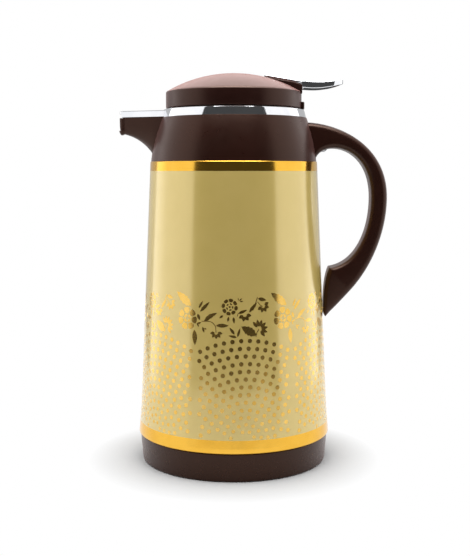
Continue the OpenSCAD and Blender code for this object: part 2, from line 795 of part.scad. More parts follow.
// Side view of the lever's plate, or of its walls where deep is true
module lever_side(x0, deep) polygon(concat(
    [[x0, lever_top_z(x0)]],
    [for (i = [0:thumb_steps]) if (thumb_x(i) > x0) [thumb_x(i), lever_top_z(thumb_x(i))]],
    [[lever_nose - 0.5, lever_top_z(lever_nose) - 1.1], [lever_nose, lever_top_z(lever_nose) - 2.2]],
    [for (i = [thumb_steps:-1:0]) if (thumb_x(i) > x0)
        [thumb_x(i), deep ? lever_low_z(thumb_x(i)) : lever_top_z(thumb_x(i)) - lever_t]],
    [[x0, deep ? lever_low_z(x0) : lever_top_z(x0) - lever_t]]));

// Lever seen from above: square front with rounded corners and a round nose
module lever_plan(half) {
    translate([lever_nose - lever_half, 0]) circle(r = half);
    translate([lever_front + corner_r, -half])
        square([lever_nose - lever_half - lever_front - corner_r, 2 * half]);
    translate([lever_front, corner_r - half]) square([2 * corner_r, 2 * (half - corner_r)]);
    for (y = [corner_r - half, half - corner_r]) translate([lever_front + corner_r, y])
        circle(r = corner_r);
}

module along_y(half) rotate([90, 0, 0]) linear_extrude(2 * half, center = true) children();

// Web between the plate and the hub
module hub_side() {
    front = slot_x + 2.5;
    back = wall_x + 3;
    half = hub_r - 0.6;
    polygon([[front, lever_top_z(front) - 1], [front, pivot_z + 2.6],
        [pivot_x - half, pivot_z - 2], [pivot_x + half, pivot_z - 2],
        [back, lever_low_z(back) + 0.8], [back, lever_top_z(back) - 1]]);
}

// Arm that reaches forward from the hub to the valve's nut
module arm_side() {
    elbow_x = fork_half;
    polygon([[-1, finger_z + 0.8], [elbow_x, finger_z + 1.6], [pivot_x, pivot_z + 2],
        [pivot_x, pivot_z - 2], [elbow_x, finger_z - finger_r], [-1, finger_z - 1.4]]);
}

// Everything inside the lever's outline, a distance in from its sides
module lever_column(inset) translate([0, 0, lid_z])
    linear_extrude(ceiling) lever_plan(lever_half - inset);

// Chrome thumb lever with a hub and a forked arm that reaches the valve stem
module lever() {
    body_half = slot_half - play;
    fork_in = stem_r + 1.5;
    color("#cfd2d6") difference() {
        union() {
            intersection() {
                along_y(lever_half) lever_side(lever_front, false);
                lever_column(0);
                // The front thins out over the dome
                difference() {
                    translate([0, -2 * lever_half, lid_z])
                        cube([2 * lever_nose, 4 * lever_half, ceiling]);
                    intersection() {
                        translate([0, 0, dome_c]) sphere(r = dome_r + play);
                        translate([0, -2 * lever_half, lid_z])
                            cube([slot_x + play, 4 * lever_half, ceiling]);
                    }
                }
            }
            difference() {
                intersection() {
                    along_y(lever_half) lever_side(wall_x, true);
                    lever_column(0);
                }
                intersection() {
                    along_y(lever_half) thumb_hollow();
                    lever_column(lever_wall);
                }
            }
            along_y(body_half) hub_side();
            pin_bore(hub_r, body_half);
            along_y(fork_half) arm_side();
            translate([0, 0, finger_z]) rotate([90, 0, 0])
                cylinder(r = finger_r, h = 2 * fork_half, center = true);
        }
        pin_bore(pin_r + running, 2 * lever_half);
        translate([-fork_half, -stem_r - play, finger_z - fork_half])
            cube([fork_half + fork_in, 2 * (stem_r + play), 2 * fork_half]);
    }
}

// Side view of the hollow under the thumb plate
module thumb_hollow() polygon(concat(
    [for (i = [0:thumb_steps]) let (x = wall_x + 2 + (lever_nose - wall_x) * i / thumb_steps)
        [x, lever_top_z(x) - lever_t]],
    [[lever_nose + 2, lid_z], [wall_x + 2, lid_z]]));

// Side view of the housing, relieved behind the pin where the plate comes down
module housing_side() {
    gap = lever_t + snug;
    x0 = lever_front + 1.5;
    polygon([[x0, dome_z - 4], [x0, lever_top_z(x0) - gap], [pivot_x, lever_top_z(pivot_x) - gap],
        [lid_r + 2, lever_top_z(lid_r + 2) - gap - 1.4], [lid_r + 2, dome_z - 4]]);
}

module lever_pin() color("#b4b8bc") pin_bore(pin_r, saddle_half - snug);

// --- Valve ---

disc_z = seat_z + valve_seal_t;

module valve_disc() color("#d8d8d2") difference() {
    union() {
        translate([0, 0, disc_z]) cylinder(r = disc_r, h = disc_t);
        translate([0, 0, disc_z]) cylinder(r = stem_r + 2, h = disc_t + 4);
    }
    translate([0, 0, disc_z + 1]) cylinder(r = stem_r + snug / 2, h = ceiling);
}

module valve_seal() color("#cfc9bb") ring(disc_r - 0.5, stem_r, seat_z, valve_seal_t);

module valve_stem() color("#b4b8bc") translate([0, 0, disc_z + 1 + snug])
    cylinder(r = stem_r, h = nut_z + nut_t - disc_z - 1 - 2 * snug);

module stem_nut() color("#b4b8bc") ring(nut_r, stem_r + snug / 2, nut_z, nut_t);

// Height of the spring's wire after s turns: flat end coils with an even pitch between
function coil_z(s, low, high) = let (n = coil_turns, end = 2.1 * wire_r)
    s < 1 ? low + end * s : s > n - 1 ? high - end * (n - s)
    : low + end + (high - low - 2 * end) * (s - 1) / (n - 2);

module valve_spring() {
    low = disc_z + disc_t + wire_r + snug / 2;
    high = lid_base_z - wire_r - snug / 2;
    color("#aeb3b7") skin([for (i = [0:14 * coil_turns]) let (s = i / 14, a = 360 * s)
        [for (b = [0:60:300]) let (r = coil_r + wire_r * cos(b))
            [r * cos(a), r * sin(a), coil_z(s, low, high) + wire_r * sin(b)]]]);
}

base_ring();
bottom_cap();
liner_cushion();
liner_outer_glass();
liner_inner_glass();
liner_pads();
neck_gasket();
body_shell();
shoulder();
bowl();
neck_tube();
spout();
chrome_collar();
handle();
handle_screws();
stopper_seal();
stopper_body();
lid_base();
lid_cover();
lid_screws();
stem_gasket();
lever();
lever_pin();
valve_stem();
valve_disc();
valve_seal();
stem_nut();
valve_spring();
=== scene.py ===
import math

import bmesh
import bpy
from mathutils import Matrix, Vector


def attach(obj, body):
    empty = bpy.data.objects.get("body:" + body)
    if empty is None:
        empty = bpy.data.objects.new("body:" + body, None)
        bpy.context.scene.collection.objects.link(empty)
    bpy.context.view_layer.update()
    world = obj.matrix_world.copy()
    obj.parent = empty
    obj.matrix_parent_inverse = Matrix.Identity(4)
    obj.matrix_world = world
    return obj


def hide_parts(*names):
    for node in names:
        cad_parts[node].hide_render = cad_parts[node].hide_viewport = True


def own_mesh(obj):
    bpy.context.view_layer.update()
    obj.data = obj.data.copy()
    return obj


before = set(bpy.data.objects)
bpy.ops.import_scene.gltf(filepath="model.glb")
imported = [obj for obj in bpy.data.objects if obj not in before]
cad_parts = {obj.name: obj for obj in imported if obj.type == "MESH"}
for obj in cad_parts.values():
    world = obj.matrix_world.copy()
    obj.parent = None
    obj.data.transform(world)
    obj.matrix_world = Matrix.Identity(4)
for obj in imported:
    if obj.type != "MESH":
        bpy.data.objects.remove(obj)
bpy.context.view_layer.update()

MM = 0.001
SEGMENTS = 192

# Heights and radii of the jug, in millimetres above the table
BASE_H = 19.8
SHOULDER_Z = 214.6
COLLAR_Z = 245.0
COLLAR_TOP = 250.8
BOWL_Z = 235.2
CHANNEL_Z = 238.4
LID_Z = 251.8
DOME_Z = 263.1
LID_R = 48.0
DOME_R = 94.0
DOME_C = DOME_Z - math.sqrt(DOME_R ** 2 - LID_R ** 2)
SHELL_FOOT_R, SHELL_TAPER, SHELL_H = 68.2, 8.9, 194.8
FLARE, FLARE_H = 0.9, 35
SHOULDER_FOOT_R, SHOULDER_TOP_R, BULGE = 58.8, 51.7, 1.0
BOWL_R, NECK_R = 46.6, 25.0
SPOUT_REACH, SPOUT_TIP, SPOUT_ROOT = 81.5, 4.5, 17.6
SPOUT_X = SPOUT_TIP - SPOUT_REACH
CHANNEL_FALL, SPOUT_WALL, LIP_ROLL = 2.3, 1.6, 1.5
KEEL_TOP, KEEL_R, KEEL_X = CHANNEL_Z - CHANNEL_FALL - SPOUT_WALL, 32.7, -SPOUT_REACH - 3.3


def shell_radius(z):
    """Radius of the sheet-metal shell at a height."""
    up = z - BASE_H
    return SHELL_FOOT_R - SHELL_TAPER * up / SHELL_H + FLARE * max(0.0, 1 - up / FLARE_H) ** 2


# --- Mesh helpers ---

def make_object(name, verts, faces, materials, zones=None, smooth=True):
    """A mesh object from points in millimetres; zones gives each face's material."""
    mesh = bpy.data.meshes.new(name)
    mesh.from_pydata([[c * MM for c in v] for v in verts], [], faces)
    for m in materials:
        mesh.materials.append(m)
    if zones:
        mesh.polygons.foreach_set("material_index", zones)
    mesh.polygons.foreach_set("use_smooth", [smooth] * len(faces))
    mesh.update()
    obj = bpy.data.objects.new(name, mesh)
    bpy.context.scene.collection.objects.link(obj)
    return obj


def lathe(name, profile, materials, zone=None, segments=SEGMENTS):
    """Turns a closed (r, z) outline about the axis; points at r = 0 become one vertex."""
    verts, rings = [], []
    for r, z in profile:
        if r < 1e-6:
            rings.append([len(verts)] * segments)
            verts.append((0, 0, z))
            continue
        rings.append(list(range(len(verts), len(verts) + segments)))
        verts += [(r * math.cos(2 * math.pi * i / segments),
                   r * math.sin(2 * math.pi * i / segments), z) for i in range(segments)]
    faces, zones = [], []
    for k, low in enumerate(rings):
        high = rings[(k + 1) % len(rings)]
        if low[0] == low[1] and high[0] == high[1]:
            continue
        middle = [(a + b) / 2 for a, b in zip(profile[k], profile[(k + 1) % len(profile)])]
        for i in range(segments):
            j = (i + 1) % segments
            face = [low[i], low[j], high[j], high[i]]
            faces.append([v for n, v in enumerate(face) if v not in face[:n]])
            zones.append(zone(*middle) if zone else 0)
    return make_object(name, verts, faces, materials, zones)


def loft(name, loops, materials, cap=None):
    """Joins loops of equal numbers of points into one skin, closed by one face or by the cap's."""
    n = len(loops[0])
    verts = [p for loop in loops for p in loop]
    faces = []
    for k in range(len(loops) - 1):
        for i in range(n):
            j = (i + 1) % n
            faces.append([k * n + i, k * n + j, (k + 1) * n + j, (k + 1) * n + i])
    for start, turn in ((0, -1), ((len(loops) - 1) * n, 1)):
        faces += [[start + i for i in face][::turn] for face in cap or [range(n)]]
    return make_object(name, verts, faces, materials)


def prism(name, outline, low, high, place, materials, bevel=0.0, steps=3):
    """Extrudes a flat outline between two levels; place maps (u, v, level) to a point."""
    n = len(outline)
    verts = [place(u, v, low) for u, v in outline] + [place(u, v, high) for u, v in outline]
    faces = [[i, (i + 1) % n, n + (i + 1) % n, n + i] for i in range(n)]
    faces += [list(range(n))[::-1], list(range(n, 2 * n))]
    obj = make_object(name, verts, faces, materials)
    outward(obj)
    if bevel:
        round_edges(obj, bevel, steps)
    return obj


def outward(obj):
    """Turns every face of a closed mesh outwards."""
    bm = bmesh.new()
    bm.from_mesh(obj.data)
    bmesh.ops.recalc_face_normals(bm, faces=bm.faces)
    bm.to_mesh(obj.data)
    bm.free()


def apply_modifiers(obj):
    bpy.context.view_layer.update()
    depsgraph = bpy.context.evaluated_depsgraph_get()
    mesh = bpy.data.meshes.new_from_object(obj.evaluated_get(depsgraph))
    obj.modifiers.clear()
    obj.data = mesh
    return obj


def round_edges(obj, width, steps):
    """Rounds the edges that are sharper than 30 degrees."""
    bevel = obj.modifiers.new("bevel", "BEVEL")
    bevel.width = width * MM
    bevel.segments = steps
    bevel.limit_method = "ANGLE"
    bevel.angle_limit = math.radians(30)
    return apply_modifiers(obj)


def combine(obj, other, operation):
    """Boolean of two closed meshes; the second one is used up."""
    tool = obj.modifiers.new("boolean", "BOOLEAN")
    tool.operation = operation
    tool.solver = "EXACT"
    tool.object = other
    apply_modifiers(obj)
    bpy.data.objects.remove(other)
    return obj


def soften(obj, angle=32):
    """Smooth shading that keeps edges sharper than the angle."""
    obj.data.polygons.foreach_set("use_smooth", [True] * len(obj.data.polygons))
    obj.data.set_sharp_from_angle(angle=math.radians(angle))
    return obj


def finish_piece(obj, body, slot, *replaced):
    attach(obj, body)
    if replaced:
        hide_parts(*replaced)
    return obj


def arc(c, r, a0, a1, n):
    return [(c[0] + r * math.cos(math.radians(a0 + (a1 - a0) * i / n)),
             c[1] + r * math.sin(math.radians(a0 + (a1 - a0) * i / n))) for i in range(n + 1)]


def along_z(x, y, z):
    return (x, y, z)


def along_y(x, z, y):
    return (x, y, z)


# --- Materials ---

def srgb(r, g, b):
    return tuple(c / 12.92 if c <= 0.04045 else ((c + 0.055) / 1.055) ** 2.4
                 for c in (r / 255, g / 255, b / 255)) + (1.0,)


class Material:
    """A Principled material with a few shorthands for its nodes."""

    def __init__(self, name, **values):
        self.material = bpy.data.materials.new(name)
        self.material.use_nodes = True
        self.nodes = self.material.node_tree.nodes
        self.links = self.material.node_tree.links
        self.shader = self.nodes["Principled BSDF"]
        for key, value in values.items():
            self.shader.inputs[key.replace("_", " ")].default_value = value
        self.place = self.nodes.new("ShaderNodeTexCoord").outputs["Object"]

    def noise(self, scale, detail=3.0):
        node = self.nodes.new("ShaderNodeTexNoise")
        node.inputs["Scale"].default_value = scale
        node.inputs["Detail"].default_value = detail
        self.links.new(self.place, node.inputs["Vector"])
        return node.outputs["Fac"]

    def spread(self, source, low, high, start=0.3, end=0.7):
        """Maps a texture to a range of numbers."""
        node = self.nodes.new("ShaderNodeMapRange")
        keys = ("From Min", "From Max", "To Min", "To Max")
        for key, value in zip(keys, (start, end, low, high)):
            node.inputs[key].default_value = value
        self.links.new(source, node.inputs["Value"])
        return node.outputs["Result"]

    def colours(self, source, *stops):
        ramp = self.nodes.new("ShaderNodeValToRGB")
        elements = ramp.color_ramp.elements
        while len(elements) < len(stops):
            elements.new(0.5)
        for element, (at, colour) in zip(elements, stops):
            element.position = at
            element.color = colour
        self.links.new(source, ramp.inputs["Fac"])
        return ramp.outputs["Color"]

    def use(self, key, output):
        self.links.new(output, self.shader.inputs[key])
        return self

    def bump(self, source, height):
        node = self.nodes.new("ShaderNodeBump")
        node.inputs["Distance"].default_value = height * MM
        self.links.new(source, node.inputs["Height"])
        self.links.new(node.outputs["Normal"], self.shader.inputs["Normal"])
        return self


def plastic(name, dark, light, rough, grain=1400, depth=0.015, **values):
    m = Material(name, **values)
    m.use("Base Color", m.colours(m.noise(45, 2), (0.35, dark), (0.65, light)))
    m.use("Roughness", m.spread(m.noise(160), *rough))
    return m.bump(m.noise(grain, 2), depth).material


def satin_brown(name, dark, light, rough, sheen, gloss=0.45):
    """Dark brown moulding with a satin bloom at grazing angles."""
    return plastic(name, dark, light, rough, depth=0.002, Specular_IOR_Level=gloss,
                   Specular_Tint=(1.0, 0.66, 0.52, 1.0), Sheen_Weight=sheen,
                   Sheen_Roughness=0.4, Sheen_Tint=(1.0, 0.52, 0.47, 1.0))


brown = satin_brown("brown_plastic", srgb(34, 14, 9), srgb(38, 16, 11), (0.27, 0.32), 0.12)
brown_base = satin_brown("brown_base", srgb(33, 14, 8), srgb(36, 16, 10), (0.26, 0.3), 0.1)
brown_lid = satin_brown("brown_lid", srgb(33, 12, 9), srgb(37, 15, 12), (0.3, 0.36), 0.12)
# The dome's faces take a lighter copy of the lid plastic with more sheen and gloss; its lighter
# colour is painted light from above
lit_brown_dome = satin_brown("lit_brown_dome", srgb(38, 16, 13), srgb(43, 19, 16), (0.36, 0.42), 0.8, 0.95)
ivory = plastic("valve_plastic", srgb(214, 212, 200), srgb(224, 222, 211), (0.35, 0.5))


def metal(name, low, high, rough):
    m = Material(name, Metallic=1.0)
    m.use("Base Color", m.colours(m.noise(90, 2), (0.35, low), (0.65, high)))
    m.use("Roughness", m.spread(m.noise(70, 3), *rough))
    return m.bump(m.noise(30, 1), 0.02).material


chrome = metal("chrome", srgb(232, 234, 238), srgb(242, 243, 246), (0.03, 0.08))
steel = metal("steel", srgb(176, 178, 182), srgb(196, 198, 202), (0.22, 0.36))
gold = metal("gold_band", srgb(243, 186, 68), srgb(248, 193, 76), (0.12, 0.18))
foil = metal("gold_foil", srgb(232, 188, 92), srgb(242, 200, 110), (0.14, 0.19))


def lacquer_material():
    """Pearl lacquer: a coloured ground, a soft metallic sheen and a clear coat."""
    m = Material("champagne_lacquer", Metallic=0.2, IOR=1.85, Coat_Weight=0.6, Coat_Roughness=0.08)
    m.use("Base Color", m.colours(m.noise(60, 2), (0.3, srgb(224, 197, 112)),
                                  (0.7, srgb(228, 201, 117))))
    m.use("Roughness", m.spread(m.noise(300, 2), 0.19, 0.23))
    return m.bump(m.noise(40, 1), 0.003).material


lacquer = lacquer_material()


def rubber(name, dark, light, rough=(0.5, 0.7)):
    return plastic(name, dark, light, rough, 900, 0.03)


silicone = rubber("silicone", srgb(214, 208, 190), srgb(226, 220, 203), (0.4, 0.55))
black_rubber = rubber("black_rubber", srgb(30, 30, 31), srgb(38, 38, 39))
fibre = rubber("pad_fibre", srgb(128, 122, 108), srgb(150, 143, 126), (0.8, 0.95))


def silvered_glass():
    m = Material("silvered_glass", Metallic=1.0, Coat_Weight=1.0, Coat_Roughness=0.03)
    m.use("Base Color", m.colours(m.noise(25, 3), (0.3, srgb(196, 204, 208)),
                                  (0.7, srgb(216, 222, 226))))
    m.use("Roughness", m.spread(m.noise(70, 4), 0.05, 0.16))
    return m.bump(m.noise(12, 1), 0.3).material


mirror_glass = silvered_glass()

for names, material in (
        (("base_ring", "bottom_cap"), brown_base),
        (("shoulder", "bowl", "neck_tube", "spout", "handle", "stopper_body", "lid_base"), brown),
        (("lid_cover",), brown_lid),
        (("chrome_collar", "lever"), chrome),
        (("handle_screws", "lid_screws", "lever_pin", "valve_stem", "stem_nut", "valve_spring"),
         steel),
        (("liner_outer_glass", "liner_inner_glass"), mirror_glass),
        (("liner_pads",), fibre),
        (("neck_gasket", "stopper_seal", "valve_seal"), silicone),
        (("liner_cushion", "stem_gasket"), black_rubber),
        (("valve_disc",), ivory),
        (("body_shell",), lacquer)):
    for name in names:
        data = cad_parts[name].data
        data.materials.clear()
        data.materials.append(material)


# --- Shell and base ---

GOLD_LOW, GOLD_HIGH = 29.2, 207.9


def shell_zone(r, z):
    """Lacquer between the gold bands."""
    return 1 if z < GOLD_LOW or z > GOLD_HIGH else 0


def shell_piece():
    sheet, hem, top_hem = 0.6, 0.9, 0.7
    z0, z1 = BASE_H + hem + 0.2, SHOULDER_Z - top_hem
    heights = sorted({z0 + 34 * i / 12 for i in range(13)} | {GOLD_LOW, GOLD_HIGH}
                     | {60 + 12 * i for i in range(13)} | {z1})
    out = [(shell_radius(z), z) for z in heights]
    r0, r1 = shell_radius(z0), shell_radius(z1)
    top = arc((r1 - top_hem, z1), top_hem, 0, 180, 8)[1:]
    inside = [(shell_radius(z) - sheet, z) for z in reversed(heights[2:-1])]
    low = arc((r0 - hem, z0), hem, 180, 360, 8)[:-1]
    return lathe("shell_skin", out + top + inside + low, [lacquer, gold], shell_zone, 256)


shell = soften(shell_piece(), 50)
finish_piece(shell, "jug", "lacquered_shell", "body_shell")


def base_piece():
    foot = 66.4
    outside = arc((foot - 1.4, 1.4), 1.4, -90, 0, 5) + [(66.9, 7), (67.5, 13.5), (67.86, 19.2)]
    inside = [(67.4, BASE_H), (66.3, BASE_H), (66.3, 32.8), (63.8, 32.8), (63.8, 17.3),
              (63.9, 5.5), (49.0, 5.5), (49.0, 3.0), (63.0, 3.0), (63.0, 0.0)]
    return lathe("base_foot", outside + inside, [brown_base])


def socket_piece():
    profile = [(49.0, 3.2), (51.5, 3.2), (51.5, 16.5), (49.0, 16.5)]
    return lathe("base_socket", profile, [brown_base])


finish_piece(soften(base_piece()), "jug", "base_plastic", "base_ring")
finish_piece(soften(socket_piece()), "jug", "base_plastic")


# --- Shoulder, bowl and spout ---

def shoulder_side(inset, n=16):
    """Points up the bulged side of the shoulder, moved in by an inset."""
    p, q = (SHOULDER_FOOT_R - inset, SHOULDER_Z), (SHOULDER_TOP_R - inset, COLLAR_Z)
    dx, dz = q[0] - p[0], q[1] - p[1]
    length = math.hypot(dx, dz)
    points = []
    for i in range(n + 1):
        t = i / n
        out = 4 * BULGE * t * (1 - t)
        points.append((p[0] + dx * t + dz / length * out, p[1] + dz * t - dx / length * out))
    return points


def beak_outline(extra=0.0, start=-46.0, n=20):
    """The spout seen from above, a distance outside its sides."""
    tip, root = SPOUT_TIP + extra, SPOUT_ROOT + extra
    d = math.hypot(start - SPOUT_X, root)
    a = math.degrees(math.atan2(root, start - SPOUT_X) + math.acos(tip / d))
    return [(start, root)] + arc((SPOUT_X, 0), tip, a, 360 - a, n) + [(start, -root)]


CHANNEL = [(-41.0, 6.8), (-82.5, 2.9), (-82.5, -2.9), (-41.0, -6.8)]


def channel_cutter(low, high):
    return prism("channel", CHANNEL, low, high, along_z, [brown])


def falling_channel():
    """Cuts the spout's channel, whose floor is level to x = -56.7 and then falls to the mouth."""
    side = [(-40.0, CHANNEL_Z), (-56.7, CHANNEL_Z), (-83.5, CHANNEL_Z - CHANNEL_FALL),
            (-83.5, COLLAR_Z + 1), (-40.0, COLLAR_Z + 1)]
    block = prism("falling", side, -12, 12, along_y, [brown])
    return combine(block, channel_cutter(CHANNEL_Z - 6, COLLAR_Z + 1), "INTERSECT")


def shoulder_piece():
    spigot = shell_radius(SHOULDER_Z) - 1.7
    side, inside = shoulder_side(0), shoulder_side(2.2)
    profile = ([(spigot - 2, SHOULDER_Z - 8), (spigot, SHOULDER_Z - 8), (spigot, SHOULDER_Z)]
               + side + [(BOWL_R, COLLAR_Z)]
               + arc((40.0, 241.8), 5.8, 0, -62, 6)[:-1]
               + [(40.5, 236.5), (25.6, BOWL_Z), (NECK_R, BOWL_Z - 0.6), (NECK_R, 224.5),
                  (28.6, 224.5), (28.6, 232.4), (41.4, 234.0), (47.2, 238.5), (48.2, 242.6)]
               + inside[::-1][1:-1] + [(spigot - 2, SHOULDER_Z - 0.5)])
    obj = lathe("shoulder_body", profile, [brown])
    outward(obj)
    return combine(obj, channel_cutter(CHANNEL_Z, COLLAR_Z + 1), "DIFFERENCE")


finish_piece(soften(shoulder_piece(), 40), "jug", "brown_plastic", "shoulder", "bowl", "neck_tube")


def spout_half(x):
    """Half width of the spout at its top: straight sides that run onto the round tip."""
    (x0, root), (x1, y1) = beak_outline()[:2]
    if x < x1:
        return SPOUT_TIP * (1 - min(abs(x - SPOUT_X) / SPOUT_TIP, 0.995) ** 2.6) ** (1 / 2.6)
    return root + (y1 - root) * (x - x0) / (x1 - x0)


def keel_z(x):
    """Height of the curved underside of the spout."""
    reach = min(abs(x - KEEL_X), KEEL_R)
    return max(KEEL_TOP - KEEL_R + math.sqrt(KEEL_R ** 2 - reach ** 2), SHOULDER_Z + 1.5)


def spout_piece():
    """Spout lofted from cross-sections between the shoulder and the tip."""
    loops = []
    stations = [-49.0 - 2.0 * i for i in range(14)]
    for x in stations + [-76.4, -77.6, -78.8, -79.8, -80.6, -81.1, -81.4]:
        half, keel = spout_half(x), keel_z(x)
        roll = LIP_ROLL ** 2 - (x + SPOUT_REACH - 1.4 * LIP_ROLL) ** 2
        if roll > 0:
            keel = min(keel, KEEL_TOP - math.sqrt(roll))
        keel += 0.9 * max(0.0, -80.4 - x)
        loop = []
        for i in range(41):
            a = math.pi * i / 40
            y = half * math.copysign(abs(math.cos(a)) ** 0.55, math.cos(a))
            loop.append((x, y, COLLAR_Z - (COLLAR_Z - keel) * math.sin(a) ** 0.62))
        loops.append(loop)
    obj = loft("spout_body", loops, [brown])
    outward(obj)
    return combine(obj, falling_channel(), "DIFFERENCE")


finish_piece(soften(spout_piece(), 40), "jug", "brown_plastic", "spout")


def collar_piece():
    profile = [(BOWL_R, COLLAR_Z), (51.2, COLLAR_Z), (51.3, COLLAR_Z + 0.15),
               (50.05, COLLAR_TOP - 0.75), (49.85, COLLAR_TOP - 0.3), (49.4, COLLAR_TOP),
               (46.8, COLLAR_TOP), (BOWL_R, COLLAR_TOP - 0.2)]
    ring = lathe("chrome_ring", profile, [chrome], segments=256)
    outward(ring)
    beak = prism("beak", beak_outline(-0.5), COLLAR_Z, COLLAR_TOP - 0.8, along_z, [chrome],
                 bevel=0.6, steps=1)
    bore = lathe("bore", [(0, COLLAR_Z - 3), (48.0, COLLAR_Z - 3), (48.0, COLLAR_TOP + 3),
                          (0, COLLAR_TOP + 3)], [chrome], segments=256)
    outward(bore)
    combine(beak, bore, "DIFFERENCE")
    combine(ring, beak, "UNION")
    return combine(ring, channel_cutter(COLLAR_Z - 2, COLLAR_TOP - 2.8), "DIFFERENCE")


finish_piece(soften(collar_piece(), 28), "jug", "chrome_trim", "chrome_collar")


# --- Handle ---

def cubic(c, t):
    w = ((1 - t) ** 3, 3 * t * (1 - t) ** 2, 3 * t * t * (1 - t), t ** 3)
    return tuple(sum(k * p[i] for k, p in zip(w, c)) for i in (0, 1))


def handle_piece():
    """Grip lofted between its outer and its inner edge, each drawn as three cubic curves."""
    fork, fin_x, fin_z, heel, touch = (83.5, 122.5), 66.53, 104.4, (68.54, 139.3), 64.49
    outer = [((50, 242), (72, 242), (109, 227.6), (109, 188.6)),
             ((109, 188.6), (109, 164.6), (99, 139.5), fork),
             (fork, (77.5, 115.7), (fin_x + 4.9, 109), (fin_x, fin_z))]
    inner = [((57.5, 215), (60, 230), (97.6, 228.6), (97.6, 188.6)),
             ((97.6, 188.6), (97.6, 164.6), (88, 142), heel),
             (heel, (65.4, 133), (touch, 121), (touch, 107.4))]
    rings = []
    for part, steps in enumerate((40, 40, 24)):
        for i in range(0 if part == 0 else 1, steps + 1):
            t = i / steps
            s = part + t
            p, q = Vector(cubic(outer[part], t)), Vector(cubic(inner[part], t))
            half = 11 - s if s < 1 else 10 if s < 2 else 10 - 2 * (s - 2)
            rings.append(grip_ring(p, q, half, 4.2))
    tip_out, tip_in = Vector((fin_x - 0.6, fin_z - 0.8)), Vector((touch + 0.5, fin_z + 1))
    rings.append(grip_ring(tip_out, tip_in, 6.5, 1))
    grip = loft("handle_grip", rings, [brown])
    outward(grip)
    cutter = lathe("cutter", [(0, SHOULDER_Z - 6), (58.9, SHOULDER_Z - 6)] + shoulder_side(-0.1)
                   + [(0, COLLAR_Z + 2)], [brown])
    outward(cutter)
    return combine(grip, cutter, "DIFFERENCE")


def grip_ring(p, q, half, r, n=7):
    """Rounded rectangle across the grip, between its outer edge p and its inner edge q."""
    length = (p - q).length
    u, c = (p - q) / length, (p + q) / 2
    k = min(r, length / 2 - 0.2)
    ring = []
    for sx, sy, a0 in ((1, 1, 0), (-1, 1, 90), (-1, -1, 180), (1, -1, 270)):
        for i in range(n + 1):
            a = math.radians(a0 + 90 * i / n)
            m = c + u * (sx * (length / 2 - k) + k * math.cos(a))
            ring.append((m[0], sy * (half - k) + k * math.sin(a), m[1]))
    return ring


finish_piece(soften(handle_piece(), 35), "jug", "brown_plastic", "handle")


# --- Lid ---

# Lever: its ends and half width, where and how it bends up behind the lid, and its walls' depth
LEVER_FRONT, LEVER_NOSE, LEVER_HALF = 21.5, 77.4, 10.5
LEVER_RISE, LEVER_SLOPE = 12.1, 0.17
BEND_X, BEND_R = 46.2, 80
WALL_DEPTH, WALL_TAPER, WALL_L = 4.7, 0.55, 36
BEHIND_LID = 47.8
PIVOT = (42.0, 266.0)
SLOT_HALF, CHEEK = 8.5, 2.6


def dome_arc(r_edge, inset, n):
    """Points from the edge of the dome to its apex."""
    radius = DOME_R - inset
    a0 = math.asin(r_edge / radius)
    return [(radius * math.sin(a0 * (1 - i / n)), DOME_C + radius * math.cos(a0 * (1 - i / n)))
            for i in range(n + 1)]


def lever_top(x):
    """Height of the top of the lever's plate."""
    bend = max(0.0, x - BEND_X)
    return (DOME_Z + LEVER_RISE - LEVER_SLOPE * (x - LEVER_FRONT)
            + BEND_R - math.sqrt(BEND_R ** 2 - bend ** 2))


def lever_low(x):
    """Height of the lower edge of the lever's walls, which grow shallower towards the nose."""
    return lever_top(x) - WALL_DEPTH * (1 - WALL_TAPER * (max(0.0, x - BEND_X) / WALL_L) ** 2)


def lid_piece():
    edge = [(47.4, LID_Z), (47.85, LID_Z + 0.15), (LID_R, LID_Z + 0.6), (LID_R, DOME_Z - 0.8)]
    outer = edge + [(47.93, DOME_Z - 0.35), (47.7, DOME_Z - 0.02)] + dome_arc(47.3, 0, 28)
    inner = list(reversed(dome_arc(45.8, 2.2, 24))) + [(45.8, LID_Z)]
    # Faces above the skirt take the lighter copy of the lid plastic: painted light on the dome's
    # top
    lid = lathe("lid_dome", outer + inner, [brown_lid, lit_brown_dome], lambda r, z: int(z > DOME_Z))
    outward(lid)
    half = SLOT_HALF + CHEEK
    x0 = LEVER_FRONT + 1.5
    side = [(x0, DOME_Z - 1.5), (x0, lever_top(x0) - 2.0), (PIVOT[0], lever_top(PIVOT[0]) - 2.0),
            (47.9, lever_top(47.9) - 2.9), (47.9, DOME_Z - 1.5)]
    housing = prism("housing", side, -half, half, along_y, [brown_lid], 0.5, 3)
    combine(lid, housing, "UNION")
    tab_outline = arc((0, 0), 50.1, -10.35, 10.35, 12) + [(46.9, 8.5), (46.9, -8.5)]
    tab = prism("tab", tab_outline, LID_Z - 0.6, LID_Z + 4.4, along_z, [brown_lid], 0.6, 3)
    combine(lid, tab, "UNION")
    slot_outline = [(25.5, -SLOT_HALF), (80, -SLOT_HALF), (80, SLOT_HALF), (25.5, SLOT_HALF)]
    slot = prism("slot", slot_outline, 262.0, 300.0, along_z, [brown_lid])
    return combine(lid, slot, "DIFFERENCE")


finish_piece(soften(lid_piece(), 30), "lid", "brown_plastic", "lid_cover")


# --- Lever ---

# Places along the lever's straight sides, from the nose to the front, and steps round the nose
SIDE_STEPS = (62, 58, 54, 50.5, 48.6, 47.9, 47.7, 45, 40, 35, 30, 27)
NOSE_STEPS = 36


def lever_outline(inset, n=12):
    """The lever seen from above, moved in by an inset; every inset gives as many points."""
    half = LEVER_HALF - inset
    corner = max(3.0 - inset, 0.25)
    front, nose = LEVER_FRONT + inset, LEVER_NOSE - LEVER_HALF
    return (arc((nose, 0), half, -90, 90, NOSE_STEPS)
            + [(x, half) for x in SIDE_STEPS]
            + arc((front + corner, half - corner), corner, 90, 180, n)
            + arc((front + corner, corner - half), corner, 180, 270, n)
            + [(x, -half) for x in reversed(SIDE_STEPS)])


